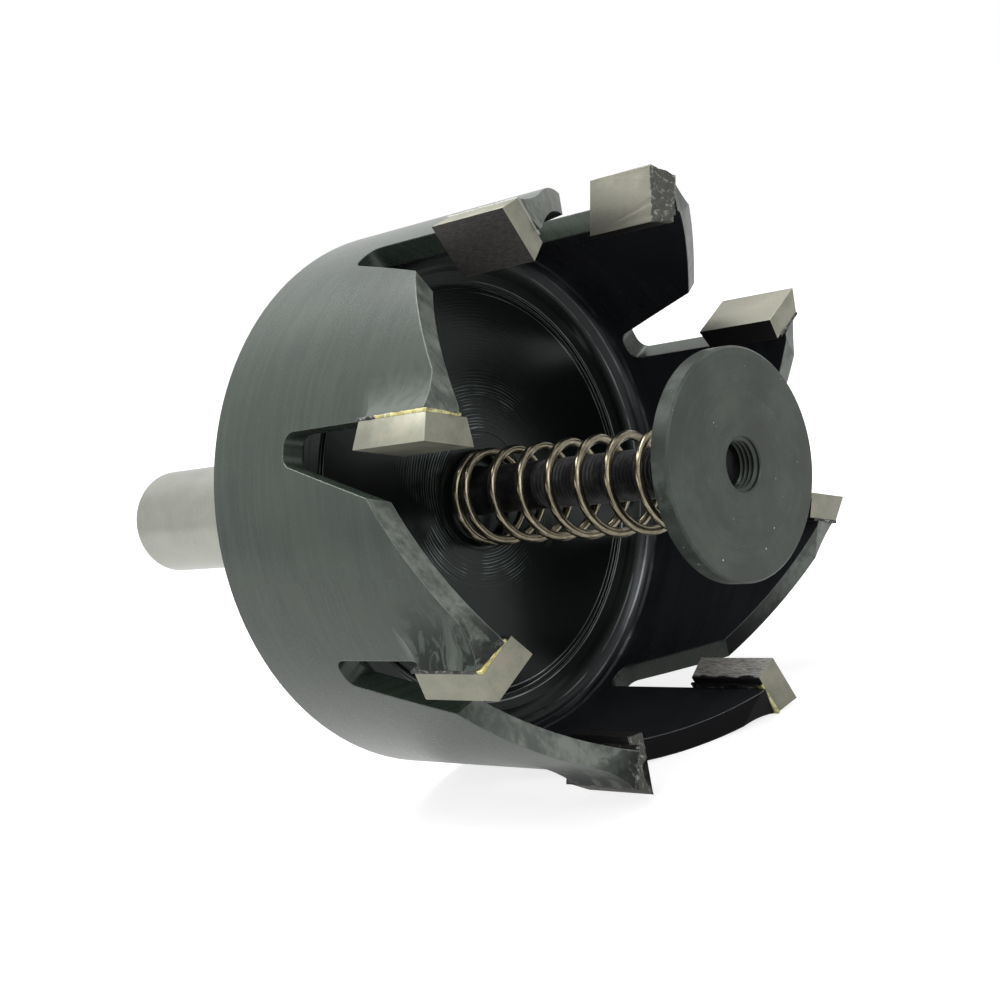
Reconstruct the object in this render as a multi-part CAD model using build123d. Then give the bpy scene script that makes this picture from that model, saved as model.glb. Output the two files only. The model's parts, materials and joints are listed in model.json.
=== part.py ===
from build123d import *
import math
import os

# A carbide-tipped hole cutter: a steel cup with brazed carbide teeth, a plain shank and a
# spring-loaded ejector disc. Each piece is built with the tool's axis along +Z, teeth upwards,
# with the cup's back face at zero. The whole tool is then laid on its side as it comes to rest,
# with its axis along +X and its down side where +X was.

# Cup, millimetres
wall_thickness = 2.25
floor_height = 8.2
back_edge_chamfer = 0.4
floor_fillet = 3.0
floor_groove_diameter = 42.4
floor_groove_width = 0.55
floor_groove_depth = 0.4
floor_land_rise = 0.25
spring_recess_depth = 0.2

# Teeth
tooth_count = 8
cutting_diameter = 60.0
tip_projection = 1.75
tip_height = 32.5
tip_length = 9.2
tip_thickness = 2.6
tip_inner_overhang = 1.7
end_relief_angle = 12.0
outer_relief_angle = 14.0
inner_relief_angle = 8.0
braze_thickness = 0.25
braze_bead = 0.3

# Breaks in the carbide: what each broken tooth has lost at its outer and inner corner,
# and a hollow chip in the edge of one of them
broken_teeth = {4: (1.4, 1.1), 8: (1.0, 2.5)}
chipped_tooth = 8
chip_radius = 1.9
chip_inset = 2.2
chip_offset = 0.6
chip_drop = 0.6

# Gullets, measured across and up from each tooth's seat
gullet_height = 11.2
gullet_width = 3.0
gullet_corner_radius = 1.3
gullet_flank_angle = 18.0
land_start_height = 22.8
land_angle = 34.0
land_turn = 24.0
tip_land_angle = 19.0
tip_land_tilt = 12.0

# Raised steel support behind each carbide tip
support_height = 21.8
support_rise = 2.4
support_reach = 7.7
support_shoulder = 0.1

# Shank
shank_diameter = 12.7
shank_length = 48.8
shank_end_radius = 1.2
spigot_shoulder = 0.35
spigot_length = 4.6
bore_end_chamfer = 0.5

# Ejector screw
screw_diameter = 4.95
screw_length = 35.0
screw_tip_chamfer = 0.5
head_diameter = 8.5
head_height = 5.0
head_edge_radius = 0.5
hex_key_size = 4.0
hex_key_depth = 2.5

# Ejector disc
disc_diameter = 21.5
disc_thickness = 2.0
disc_edge_chamfer = 0.25
hub_diameter = 6.2
hub_length = 3.0
thread_diameter = 5.0
open_thread = 2.5

# Spring
wire_diameter = 0.95
coil_diameter = 9.31
closed_turns = 1.2
active_turns = 7.4
closed_gap = 0.1
spring_start_angle = 127.0

# Fits
screw_clearance = 0.08
head_clearance = 0.1
mouth_clearance = 0.05
seat_gap = 0.02
hang_clearance = 0.3
recess_clearance = 0.35

# Room left round cuts and stock, so that each cut passes right through
overcut = 3.0

# Values worked out from the sizes above
cutting_radius = cutting_diameter / 2
body_radius = cutting_radius - tip_projection
inner_radius = body_radius - wall_thickness
tooth_pitch = 360 / tooth_count
cup_top = tip_height + overcut
seat_offset = tip_thickness + braze_thickness
tip_base = tip_height - tip_length
tip_back_height = tip_height - tip_thickness * math.tan(math.radians(end_relief_angle))
tip_inner_radius = inner_radius - tip_inner_overhang
tip_back_radius = cutting_radius - tip_thickness * math.tan(math.radians(outer_relief_angle))
spring_seat = floor_height - spring_recess_depth
coil_inner_radius = (coil_diameter - wire_diameter) / 2
coil_outer_radius = (coil_diameter + wire_diameter) / 2
# the spring is loose sideways: with the tool on its side it hangs on the disc's hub
spring_drop = coil_inner_radius - hub_diameter / 2 - hang_clearance
spring_recess_radius = coil_outer_radius + spring_drop + recess_clearance
disc_front = spigot_length + screw_length + open_thread
disc_back = disc_front - disc_thickness
shank_end = -shank_length
spigot_radius = shank_diameter / 2 - spigot_shoulder
mouth_radius = shank_diameter / 2 + mouth_clearance


def revolved(points):
    """A solid turned about the tool's axis from a radius and height outline."""
    outline = Plane.XZ * make_face(Polyline(*points, close=True))
    return revolve(outline, Axis.Z)


def on_tooth(angle):
    """The place of a tooth: +X outwards through its cutting face, +Y the way it cuts."""
    return Rot(0, 0, angle)


def across_tooth(outline, start, end):
    """A prism whose outline is drawn across and up a tooth, reaching outwards from start to end."""
    face = Plane(origin=(start, 0, 0), x_dir=(0, 1, 0), z_dir=(1, 0, 0)) * outline
    return extrude(face, end - start)


def tooth_angles():
    """The angle of each cutting face. Two teeth straddle the down side."""
    return [tooth_pitch / 2 + tooth_pitch * index for index in range(tooth_count)]


def turned_cup():
    """The cup before milling, with its floor, spring recess and a chamfered shank socket."""
    groove_inner = floor_groove_diameter / 2
    groove_outer = groove_inner + floor_groove_width
    land_height = floor_height + floor_land_rise
    hole_radius = screw_diameter / 2 + screw_clearance
    mouth_depth = mouth_radius - spigot_radius
    corner = (inner_radius - floor_fillet, land_height)
    section = [
        Line((hole_radius, spigot_length), (hole_radius, spring_seat)),
        Line((hole_radius, spring_seat), (spring_recess_radius, spring_seat)),
        Line((spring_recess_radius, spring_seat), (spring_recess_radius, floor_height)),
        Line((spring_recess_radius, floor_height), (groove_inner, floor_height)),
        Line((groove_inner, floor_height), (groove_inner, floor_height - floor_groove_depth)),
        Line(
            (groove_inner, floor_height - floor_groove_depth),
            (groove_outer, floor_height - floor_groove_depth),
        ),
        Line((groove_outer, floor_height - floor_groove_depth), (groove_outer, floor_height)),
        Line((groove_outer, floor_height), corner),
        RadiusArc(corner, (inner_radius, land_height + floor_fillet), -floor_fillet),
        Line((inner_radius, land_height + floor_fillet), (inner_radius, cup_top)),
        Line((inner_radius, cup_top), (body_radius, cup_top)),
        Line((body_radius, cup_top), (body_radius, back_edge_chamfer)),
        Line((body_radius, back_edge_chamfer), (body_radius - back_edge_chamfer, 0)),
        Line((body_radius - back_edge_chamfer, 0), (mouth_radius, 0)),
        Line((mouth_radius, 0), (spigot_radius, mouth_depth)),
        Line((spigot_radius, mouth_depth), (spigot_radius, spigot_length)),
        Line((spigot_radius, spigot_length), (hole_radius, spigot_length)),
    ]
    return revolve(Plane.XZ * make_face(section), Axis.Z)


def tip_support():
    """The raised steel behind one carbide tip, which runs out into the cup's side in two hollows."""
    edge_radius = tip_back_radius + support_shoulder
    hollow_start = (body_radius, support_height)
    hollow_end = (edge_radius, support_height + support_rise)
    inside = body_radius - wall_thickness / 2
    rim = revolve(
        Plane.XZ
        * make_face(
            [
                Line((inside, support_height), hollow_start),
                TangentArc(hollow_start, hollow_end, tangent=(0, 1)),
                Line(hollow_end, (edge_radius, cup_top)),
                Line((edge_radius, cup_top), (inside, cup_top)),
                Line((inside, cup_top), (inside, support_height)),
            ]
        ),
        Axis.Z,
    )
    turn = math.radians(support_reach) + math.asin(seat_offset / body_radius)
    run_out = (body_radius * math.cos(turn), -body_radius * math.sin(turn))
    front = (tip_back_radius, -seat_offset)
    ramp = make_face(
        [
            TangentArc(run_out, front, tangent=(math.sin(turn), math.cos(turn))),
            Line(front, (inside, -seat_offset)),
            Line((inside, -seat_offset), (inside, run_out[1])),
            Line((inside, run_out[1]), run_out),
        ]
    )
    return rim & extrude(ramp, cup_top)


def gullet_cut():
    """The slot in front of one tooth: a straight seat, a rounded floor and a sloping flank."""
    run = (cup_top + overcut - gullet_height) * math.tan(math.radians(gullet_flank_angle))
    outline = make_face(
        Polyline(
            (-seat_offset, cup_top + overcut),
            (-seat_offset, gullet_height),
            (gullet_width - seat_offset, gullet_height),
            (gullet_width - seat_offset + run, cup_top + overcut),
            close=True,
        )
    )
    lower_corners = outline.vertices().sort_by(Axis.Y)[:2]
    outline = fillet(lower_corners, gullet_corner_radius)
    return across_tooth(outline, tip_inner_radius - overcut, cutting_radius + overcut)


def land_cut():
    """The sloping top of one tooth, which climbs from the gullet behind it towards its tip."""
    rise = land_start_height - gullet_height
    flank = gullet_width - seat_offset + rise * math.tan(math.radians(gullet_flank_angle))
    start_turn = math.degrees(math.asin(flank / body_radius)) - tooth_pitch + land_turn
    start = body_radius * math.sin(math.radians(start_turn))
    slope = math.tan(math.radians(land_angle))
    before = start - overcut / 2
    beyond = start + body_radius * math.radians(tooth_pitch)
    outline = make_face(
        Polyline(
            (before, land_start_height + (before - start) * slope),
            (beyond, land_start_height + (beyond - start) * slope),
            (beyond, cup_top + body_radius),
            (before, cup_top + body_radius),
            close=True,
        )
    )
    prism = across_tooth(outline, tip_inner_radius - overcut, cutting_radius + overcut)
    return Rot(0, 0, -land_turn) * prism


def tip_land_cut():
    """The flatter ground facet next to the carbide, leaning outwards a little."""
    middle = body_radius - wall_thickness / 2
    reach = body_radius * math.sin(math.radians(tooth_pitch / 2))
    block = Box(2 * reach, 2 * reach, 2 * reach, align=(Align.CENTER, Align.CENTER, Align.MIN))
    return Pos(middle, -seat_offset, tip_back_height) * Rot(tip_land_angle, tip_land_tilt, 0) * block


def cutter_body():
    """The cup with its tip supports, gullets and lands."""
    body = turned_cup()
    for angle in tooth_angles():
        body += on_tooth(angle) * tip_support()
    for angle in tooth_angles():
        body -= on_tooth(angle) * gullet_cut()
        body -= on_tooth(angle) * land_cut()
        body -= on_tooth(angle) * tip_land_cut()
    return body


def carbide_tip():
    """One ground carbide block, relieved behind its end, outer and inner edges."""
    inner_back = tip_inner_radius + tip_thickness * math.tan(math.radians(inner_relief_angle))
    seen_from_front = make_face(
        Polyline(
            (cutting_radius, 0),
            (tip_inner_radius, 0),
            (inner_back, -tip_thickness),
            (tip_back_radius, -tip_thickness),
            close=True,
        )
    )
    seen_from_side = make_face(
        Polyline(
            (0, tip_base),
            (0, tip_height),
            (-tip_thickness, tip_back_height),
            (-tip_thickness, tip_base),
            close=True,
        )
    )
    block = extrude(seen_from_front, tip_height + overcut)
    return block & across_tooth(seen_from_side, tip_inner_radius - overcut, cutting_radius + overcut)


def broken_tip(outer_loss, inner_loss):
    """A carbide block whose end has broken away along a slanting plane."""
    outer_edge = Vector(cutting_radius, 0, tip_height - outer_loss)
    inner_edge = Vector(tip_inner_radius, 0, tip_height - inner_loss)
    outer_heel = Vector(cutting_radius, -tip_thickness, tip_back_height)
    normal = (inner_edge - outer_edge).cross(outer_heel - outer_edge)
    if normal.Z < 0:
        normal = -normal
    return split(carbide_tip(), Plane(origin=outer_edge, z_dir=normal), keep=Keep.BOTTOM)


def edge_chip():
    """The hollow left by a flake that has come off the cutting edge."""
    return Pos(cutting_radius - chip_inset, chip_offset, tip_height - chip_drop) * Sphere(chip_radius)


def braze_seam():
    """The filler metal between a carbide block and its seat, with a narrow bead below and inside."""
    seat_inner = math.sqrt(inner_radius**2 - seat_offset**2)
    layer = Box(
        tip_back_radius - seat_inner + braze_bead,
        braze_thickness,
        tip_back_height - tip_base + braze_bead,
        align=(Align.MIN, Align.MIN, Align.MIN),
    )
    return Pos(seat_inner - braze_bead, -seat_offset, tip_base - braze_bead) * layer


def shank():
    """The plain ground shank: a spigot in the cup's back wall, and a bore for the screw's head."""
    outer = shank_diameter / 2
    inner = head_diameter / 2 + head_clearance
    bar = revolved(
        [
            (inner, spigot_length),
            (spigot_radius, spigot_length),
            (spigot_radius, 0),
            (outer, 0),
            (outer, shank_end),
            (inner + bore_end_chamfer, shank_end),
            (inner, shank_end + bore_end_chamfer),
        ]
    )
    rim = bar.edges().filter_by(GeomType.CIRCLE).group_by(Axis.Z)[0].sort_by(SortBy.RADIUS)[-1]
    return fillet(rim, shank_end_radius)


def ejector_screw():
    """A socket-head screw that slides in the cup and carries the disc on its thread."""
    stem = screw_diameter / 2
    head = head_diameter / 2
    under_head = spigot_length
    tip = under_head + screw_length
    blank = revolved(
        [
            (0, under_head - head_height),
            (head, under_head - head_height),
            (head, under_head),
            (stem, under_head),
            (stem, tip - screw_tip_chamfer),
            (stem - screw_tip_chamfer, tip),
            (0, tip),
        ]
    )
    crown = blank.edges().filter_by(GeomType.CIRCLE).group_by(Axis.Z)[0]
    blank = fillet(crown, head_edge_radius)
    socket = extrude(RegularPolygon(hex_key_size / 2, 6, major_radius=False), hex_key_depth)
    return blank - Pos(0, 0, under_head - head_height) * socket


def ejector_disc():
    """A turned disc with a hub behind it, tapped right through."""
    rim = disc_diameter / 2
    hole = thread_diameter / 2
    hub = hub_diameter / 2
    hub_back = disc_back - hub_length
    return revolved(
        [
            (hole, hub_back),
            (hub, hub_back),
            (hub, disc_back),
            (rim - disc_edge_chamfer, disc_back),
            (rim, disc_back + disc_edge_chamfer),
            (rim, disc_front - disc_edge_chamfer),
            (rim - disc_edge_chamfer, disc_front),
            (hole, disc_front),
        ]
    )


def ejector_spring():
    """The closed-end spring, from its recess in the cup to the disc's back."""
    height = spring_seat + seat_gap + wire_diameter / 2
    last = disc_back - seat_gap - wire_diameter / 2
    closed_pitch = wire_diameter + closed_gap
    closed_height = closed_pitch * closed_turns
    active_pitch = (last - height - 2 * closed_height) / active_turns
    stretches = [
        (closed_pitch, closed_turns),
        (active_pitch, active_turns),
        (closed_pitch, closed_turns),
    ]
    angle = spring_start_angle
    coils = []
    for pitch, turns in stretches:
        coil = Helix(pitch=pitch, height=pitch * turns, radius=coil_diameter / 2)
        coils.append(Pos(spring_drop, 0, height) * Rot(0, 0, angle) * coil)
        height += pitch * turns
        angle += 360 * turns
    path = Wire([edge for coil in coils for edge in coil.edges()])
    section = Plane(origin=path @ 0, z_dir=path % 0) * Circle(wire_diameter / 2)
    return sweep(section, path=path, is_frenet=True)


def lay_down(piece):
    """Turns the tool's axis to +X and sets the piece on the surface, centred along the tool."""
    middle = (shank_end + disc_front) / 2
    return Pos(-middle, 0, body_radius) * Rot(0, 90, 0) * piece


def all_pieces():
    """Every piece by name, in the tool's own frame."""
    pieces = {
        "cutter_body": cutter_body(),
        "shank": shank(),
        "ejector_spring": ejector_spring(),
        "ejector_disc": ejector_disc(),
        "ejector_screw": ejector_screw(),
    }
    for index, angle in enumerate(tooth_angles(), start=1):
        tip = broken_tip(*broken_teeth[index]) if index in broken_teeth else carbide_tip()
        if index == chipped_tooth:
            tip -= edge_chip()
        pieces[f"carbide_tip_{index}"] = on_tooth(angle) * tip
        pieces[f"braze_seam_{index}"] = on_tooth(angle) * braze_seam()
    return pieces


os.makedirs("parts", exist_ok=True)
for name, piece in all_pieces().items():
    export_step(lay_down(piece), f"parts/{name}.step")
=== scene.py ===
import bpy
import bmesh
import json
import math
from mathutils import Matrix, Vector, noise


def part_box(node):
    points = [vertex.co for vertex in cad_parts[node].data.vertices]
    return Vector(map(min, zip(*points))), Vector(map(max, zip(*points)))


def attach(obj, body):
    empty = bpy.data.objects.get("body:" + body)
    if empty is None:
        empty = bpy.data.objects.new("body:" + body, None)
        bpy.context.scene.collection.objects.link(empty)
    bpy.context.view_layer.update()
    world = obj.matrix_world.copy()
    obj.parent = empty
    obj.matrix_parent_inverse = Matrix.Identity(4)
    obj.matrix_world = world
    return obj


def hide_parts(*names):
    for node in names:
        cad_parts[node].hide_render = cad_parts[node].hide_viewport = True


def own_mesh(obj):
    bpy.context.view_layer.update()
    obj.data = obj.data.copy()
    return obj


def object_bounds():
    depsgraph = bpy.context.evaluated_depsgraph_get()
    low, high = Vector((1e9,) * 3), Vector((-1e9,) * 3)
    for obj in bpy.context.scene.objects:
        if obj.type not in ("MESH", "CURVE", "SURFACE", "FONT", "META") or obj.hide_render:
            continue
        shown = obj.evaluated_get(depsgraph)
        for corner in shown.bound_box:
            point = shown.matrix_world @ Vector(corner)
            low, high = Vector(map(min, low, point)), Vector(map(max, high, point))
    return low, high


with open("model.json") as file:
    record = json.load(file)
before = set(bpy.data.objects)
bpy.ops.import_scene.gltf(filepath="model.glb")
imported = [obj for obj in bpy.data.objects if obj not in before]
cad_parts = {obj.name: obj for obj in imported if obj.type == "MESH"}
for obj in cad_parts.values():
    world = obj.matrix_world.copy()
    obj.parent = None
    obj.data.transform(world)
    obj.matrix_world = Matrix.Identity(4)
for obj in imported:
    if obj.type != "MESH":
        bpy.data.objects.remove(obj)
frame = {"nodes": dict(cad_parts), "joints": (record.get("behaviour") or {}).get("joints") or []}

nodes = frame["nodes"]
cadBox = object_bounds()

# The pieces are modelled in millimetres, standing on the cup's back face with the teeth upwards,
# and toolPlace then lays them down where the frame has the tool.
mm = 0.001
shankLow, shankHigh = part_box("shank")
cupLow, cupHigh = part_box("cutter_body")
axisHeight = (shankLow.z + shankHigh.z) / 2
cupRadius = (cupHigh.z - cupLow.z) / 2 / mm
toolPlace = (
    Matrix.Translation((cupLow.x, 0, axisHeight))
    @ Matrix.Rotation(math.radians(90), 4, "Y")
    @ Matrix.Scale(mm, 4)
)
toolPlaceBack = toolPlace.inverted()
toothCount = sum(name.startswith("carbide_tip") for name in nodes)
toothPitch = 360 / toothCount


def toothPlace(index):
    # a tooth's own frame: x outwards along its cutting face, y the way it cuts, z up the tool
    return Matrix.Rotation(math.radians(toothPitch * (index - 0.5)), 4, "Z")


def toolBox(name, turn=Matrix.Identity(4)):
    # a node's corners in tool millimetres, in a tooth's frame if one is given
    back = turn.inverted() @ toolPlaceBack
    points = [back @ vert.co for vert in nodes[name].data.vertices]
    low = Vector([min(point[axis] for point in points) for axis in range(3)])
    high = Vector([max(point[axis] for point in points) for axis in range(3)])
    return low, high


tipBoxes = [toolBox(f"carbide_tip_{index}") for index in range(1, toothCount + 1)]
tipTop = max(high.z for low, high in tipBoxes)
tipFoot = min(low.z for low, high in tipBoxes)


# Materials

class Signal:
    # an output socket that takes part in sums
    def __init__(self, shade, socket):
        self.shade = shade
        self.socket = socket

    def __add__(self, other):
        return self.shade.maths("ADD", self, other)

    def __radd__(self, other):
        return self.shade.maths("ADD", other, self)

    def __sub__(self, other):
        return self.shade.maths("SUBTRACT", self, other)

    def __rsub__(self, other):
        return self.shade.maths("SUBTRACT", other, self)

    def __mul__(self, other):
        return self.shade.maths("MULTIPLY", self, other)

    def __rmul__(self, other):
        return self.shade.maths("MULTIPLY", other, self)

    def __truediv__(self, other):
        return self.shade.maths("DIVIDE", self, other)

    def __rtruediv__(self, other):
        return self.shade.maths("DIVIDE", other, self)

    def most(self, other):
        return self.shade.maths("MAXIMUM", self, other)


class Shade:
    # the nodes of a material or of the world, in front of its one shader
    def __init__(self, owner, shader, **constants):
        owner.use_nodes = True
        self.owner = owner
        self.tree = owner.node_tree
        self.shader = self.tree.nodes[shader]
        for socket, value in constants.items():
            self.shader.inputs[socket.replace("_", " ")].default_value = value

    def node(self, kind, settings=None, values=None, output=0):
        # any kind of node: its settings first, then a value or a link for each named socket
        made = self.tree.nodes.new(kind)
        for name, value in (settings or {}).items():
            setattr(made, name, value)
        for socket, value in (values or {}).items():
            if isinstance(value, Signal):
                self.tree.links.new(value.socket, made.inputs[socket])
            else:
                made.inputs[socket].default_value = value
        return Signal(self, made.outputs[output])

    def feed(self, socket, signal):
        self.tree.links.new(signal.socket, self.shader.inputs[socket])

    def maths(self, operation, *values):
        return self.node("ShaderNodeMath", {"operation": operation}, dict(enumerate(values)))

    def coords(self):
        return self.node("ShaderNodeTexCoord", output="Object")

    def attribute(self, name):
        return self.node("ShaderNodeAttribute", {"attribute_name": name}, output="Vector")

    def rays(self, kind):
        return self.node("ShaderNodeLightPath", output=f"Is {kind} Ray")

    def shownRays(self):
        # 1 for the rays that show the background: straight to the camera, mirrored or let through
        return self.rays("Camera").most(self.rays("Glossy")).most(self.rays("Transmission"))

    def parts(self, vector):
        first = self.node("ShaderNodeSeparateXYZ", values={"Vector": vector})
        return [Signal(self, socket) for socket in first.socket.node.outputs]

    def join(self, x, y, z):
        return self.node("ShaderNodeCombineXYZ", values={"X": x, "Y": y, "Z": z})

    def move(self, vector, location=(0, 0, 0), scale=(1, 1, 1)):
        values = {"Vector": vector, "Location": location, "Scale": scale}
        return self.node("ShaderNodeMapping", {"vector_type": "POINT"}, values)

    def noise(self, vector, scale, detail=3.0, rough=0.5, twist=0.0):
        values = {
            "Vector": vector,
            "Scale": scale,
            "Detail": detail,
            "Roughness": rough,
            "Distortion": twist,
        }
        return self.node("ShaderNodeTexNoise", {"noise_dimensions": "3D"}, values, "Fac")

    def turnedLines(self, path, turn, drift, *pattern):
        # noise in lines round the tool: it changes along the path, and slowly along each line
        return self.noise(self.join(path, 0.0, turn * drift), *pattern)

    def between(self, value, low, high):
        # 0 below low, 1 above high, smooth between; low may be the higher of the two
        settings = {"interpolation_type": "SMOOTHSTEP", "clamp": True}
        values = {"Value": value, "From Min": low, "From Max": high, "To Min": 0.0, "To Max": 1.0}
        return self.node("ShaderNodeMapRange", settings, values)

    def spread(self, value, low, high):
        # a 0 to 1 value stretched to low to high
        values = {"Value": value, "From Min": 0.0, "From Max": 1.0, "To Min": low, "To Max": high}
        return self.node("ShaderNodeMapRange", {"clamp": True}, values)

    def mix(self, factor, first, second):
        settings = {"data_type": "RGBA", "clamp_factor": True}
        return self.node("ShaderNodeMix", settings, {0: factor, 6: first, 7: second}, 2)

    def fade(self, value, span, first, second):
        # the first colour up to where the span starts, the second from where it ends
        return self.mix(self.between(value, *span), first, second)

    def bump(self, height, strength, distance, below=None):
        values = {"Height": height, "Strength": strength, "Distance": distance}
        if below is not None:
            values["Normal"] = below
        return self.node("ShaderNodeBump", None, values, "Normal")

    def softEdge(self, radius):
        # a rounded look for the corners that the turned and milled solids leave sharp
        return self.node("ShaderNodeBevel", {"samples": 6}, {"Radius": radius})

    def edgeMask(self, radius, low, high):
        # 1 on corners, 0 on open faces, from how far the softened corner turns away from the face
        soft = self.softEdge(radius)
        face = self.node("ShaderNodeNewGeometry", output="Normal")
        settings = {"operation": "DOT_PRODUCT"}
        agree = self.node("ShaderNodeVectorMath", settings, {0: soft, 1: face}, "Value")
        return self.between(1 - agree, low, high)


def startMaterial(name, **constants):
    return Shade(bpy.data.materials.new(name), "Principled BSDF", **constants)


def grey(level):
    return (level, level, level, 1.0)


def fromPicture(red, green, blue):
    # a colour given as it shows on screen, 0 to 255, straightened by the usual screen curve
    def straight(value):
        share = value / 255
        return share / 12.92 if share <= 0.04045 else ((share + 0.055) / 1.055) ** 2.4
    return (straight(red), straight(green), straight(blue), 1.0)


def toolCoords(shade):
    # distance along the axis, distance from it and angle round it, from the object's own coordinates
    x, y, z = shade.parts(shade.coords())
    along = x - cupLow.x
    up = z - axisHeight
    out = shade.maths("SQRT", y * y + up * up)
    turn = shade.maths("ARCTAN2", up, y)
    return along, out, turn


# In the looks below, a pattern is a noise's scale, detail, roughness and distortion, and one for turned
# lines starts with its drift round the tool. A span is where a fade starts and where it ends, and bump
# is a strength and a depth.

bodyLook = {
    "outside": fromPicture(56, 66, 57),
    "outsideDark": fromPicture(41, 50, 43),
    "turnedLine": fromPicture(92, 103, 94),
    "wall": fromPicture(44, 46, 50),
    "wallDark": fromPicture(32, 33, 37),
    "floor": fromPicture(24, 29, 28),
    "ringGlint": fromPicture(104, 114, 112),
    "grooveHighlight": fromPicture(184, 190, 190),
    "land": fromPicture(114, 120, 113),
    "landDark": fromPicture(70, 76, 71),
    "shadedLand": fromPicture(20, 20, 22),
    "flux": fromPicture(22, 24, 24),
    "ash": fromPicture(98, 101, 95),
    "worn": fromPicture(170, 175, 168),
    "roughness": (0.2, 0.32),
    "bump": (0.25, 0.015 * mm),
    "edgeRadius": 0.18 * mm,
    "edgeSpan": (0.02, 0.25),
    "wear": 0.6,
    # turned outside
    "swayPattern": (60.0, 2.0),
    "swayDepth": 0.06 * mm,
    "finePattern": (0.0005, 4200.0, 3.0, 0.65),
    "broadPattern": (0.003, 900.0, 3.0, 0.55),
    "cloudPattern": (75.0, 4.0, 0.6),
    "speckPattern": (2600.0, 2.0, 0.7),
    "patchPattern": (85.0, 2.0),
    "patchShift": (0.3, 0.1, 0.7),
    "patchSpan": (0.5, 0.68),
    "outsideSpan": (0.32, 0.68),
    "lineSpan": (0.56, 0.74),
    "nearBack": (9.0 * mm, 2.0 * mm),
    # inside of the cup
    "insideOut": (26.15 * mm, 26.05 * mm),
    "insideAlong": (7.0 * mm, 7.2 * mm),
    "wallSpan": (0.3, 0.7),
    "floorTop": 8.9 * mm,
    "floorFade": 0.3 * mm,
    "filletTop": 11.4 * mm,
    "filletFade": 0.4 * mm,
    "ringStep": 0.34 * mm,
    "ringSway": 1.6,
    "ringPattern": (0.0006, 1900.0, 2.0),
    "ringSpan": (0.55, 0.98),
    "ringZone": (13.5 * mm, 8.0 * mm),
    "arcPattern": (170.0, 3.0),
    "arcShift": (0.0, 0.2, 0.4),
    "arcSpan": (0.5, 0.62),
    "grooveEdges": (20.82 * mm, 21.5 * mm, 22.0 * mm),
    "grooveHalf": 0.085 * mm,
    "filletEdges": (24.4 * mm, 25.2 * mm, 25.7 * mm),
    "filletHalf": 0.1 * mm,
    "gapPattern": (3.0, 3.0, 0.6),
    "gapStretch": 400.0,
    "gapSpan": (0.36, 0.62),
    "brightestTurn": math.radians(-35),
    "brightSpan": (0.2, 0.75),
    "paleSpan": (-0.35, -0.1),
    # sloping lands, with painted shade on those on one side of the tool
    "landFacing": (0.25, 0.45),
    "landAlong": (22.6 * mm, 23.0 * mm),
    "landSpan": (0.38, 0.62),
    "gritPattern": (1500.0, 4.0, 0.65),
    "gritStretch": (1, 1, 0.4),
    "stainPattern": (330.0, 3.0, 0.6),
    "stainShift": (0.5, 0.2, 0.1),
    "shadedTurn": math.radians(-78),
    "shadedSideSpan": (0.74, 0.94),
    # flux and ash from the brazing
    "seatShare": 0.13,
    "fluxBehind": (0.62, 0.24),
    "fluxAlong": (18.0 * mm, 26.0 * mm),
    "dirtiestTurn": math.radians(-150),
    "dirtySpan": (0.6, 0.9),
    "cleanSide": 0.3,
    "flowPattern": (420.0, 4.0, 0.6, 1.2),
    "flowStretch": (1.0, 0.6, 0.6),
    "fluxSpan": (0.52, 0.6),
    "fluxShare": 0.85,
    "ashSpan": (0.42, 0.32),
    "ashShare": 0.4,
}


def toothBehind(shade, turn):
    # 1 just behind a seat and 0 at the next one; the teeth stand half a pitch off the turn's zero
    pitches = turn / math.radians(toothPitch)
    return 1 - shade.maths("FRACT", pitches + (0.5 - bodyLook["seatShare"]))


def facingTurn(shade, turn, middle):
    # 1 on the side of the tool that lies at the middle angle, -1 on the far side
    return shade.maths("COSINE", turn - middle)


def circles(shade, out, radii, half):
    # thin lines turned at the given radii
    lines = None
    for radius in radii:
        line = shade.between(shade.maths("ABSOLUTE", out - radius), half, half * 0.4)
        lines = line if lines is None else lines.most(line)
    return lines


def insideColour(shade, place, polar, tone):
    # near black, partly the steel's own darker finish and partly painted shade of the hollow, with turned
    # rings on the floor given a painted glint and painted highlights on the edges of its groove and fillet
    look = bodyLook
    along, out, turn = polar
    drift = shade.noise(shade.move(place, look["arcShift"]), *look["arcPattern"])
    arcs = shade.between(drift, *look["arcSpan"])
    sway = shade.turnedLines(out, turn, *look["ringPattern"]) * look["ringSway"]
    step = out / look["ringStep"] + sway
    ring = shade.between(shade.maths("SINE", step * math.tau), *look["ringSpan"])
    # the turned rings near the seat are real marks, and their lighter colour is a painted glint
    nearSeat = shade.between(out, *look["ringZone"])
    rings = ring * (arcs * nearSeat * 0.8 + nearSeat * 0.06 + 0.02)
    wall = shade.fade(tone, look["wallSpan"], look["wallDark"], look["wall"])
    floor = shade.mix(rings, look["floor"], look["ringGlint"])
    colour = shade.fade(along, (look["floorTop"] + look["floorFade"], look["floorTop"]), wall, floor)
    low = shade.between(along, look["filletTop"], look["filletTop"] - look["filletFade"])
    gaps = shade.noise(shade.join(turn, out * look["gapStretch"], 0.0), *look["gapPattern"])
    broken = shade.between(gaps, *look["gapSpan"])
    groove = circles(shade, out, look["grooveEdges"], look["grooveHalf"]) * (0.25 + broken * 0.6)
    fillet = circles(shade, out, look["filletEdges"], look["filletHalf"]) * broken * 0.25
    # painted highlights: groove and fillet edges turn bright in colour on the side of the cup towards the
    # light
    facing = facingTurn(shade, turn, look["brightestTurn"])
    bright = shade.between(facing, *look["brightSpan"])
    pale = shade.between(facing, *look["paleSpan"])
    lit = bright * 0.6 + pale * 0.4
    return shade.mix(low * lit * groove.most(fillet), colour, look["grooveHighlight"]), ring


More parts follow.
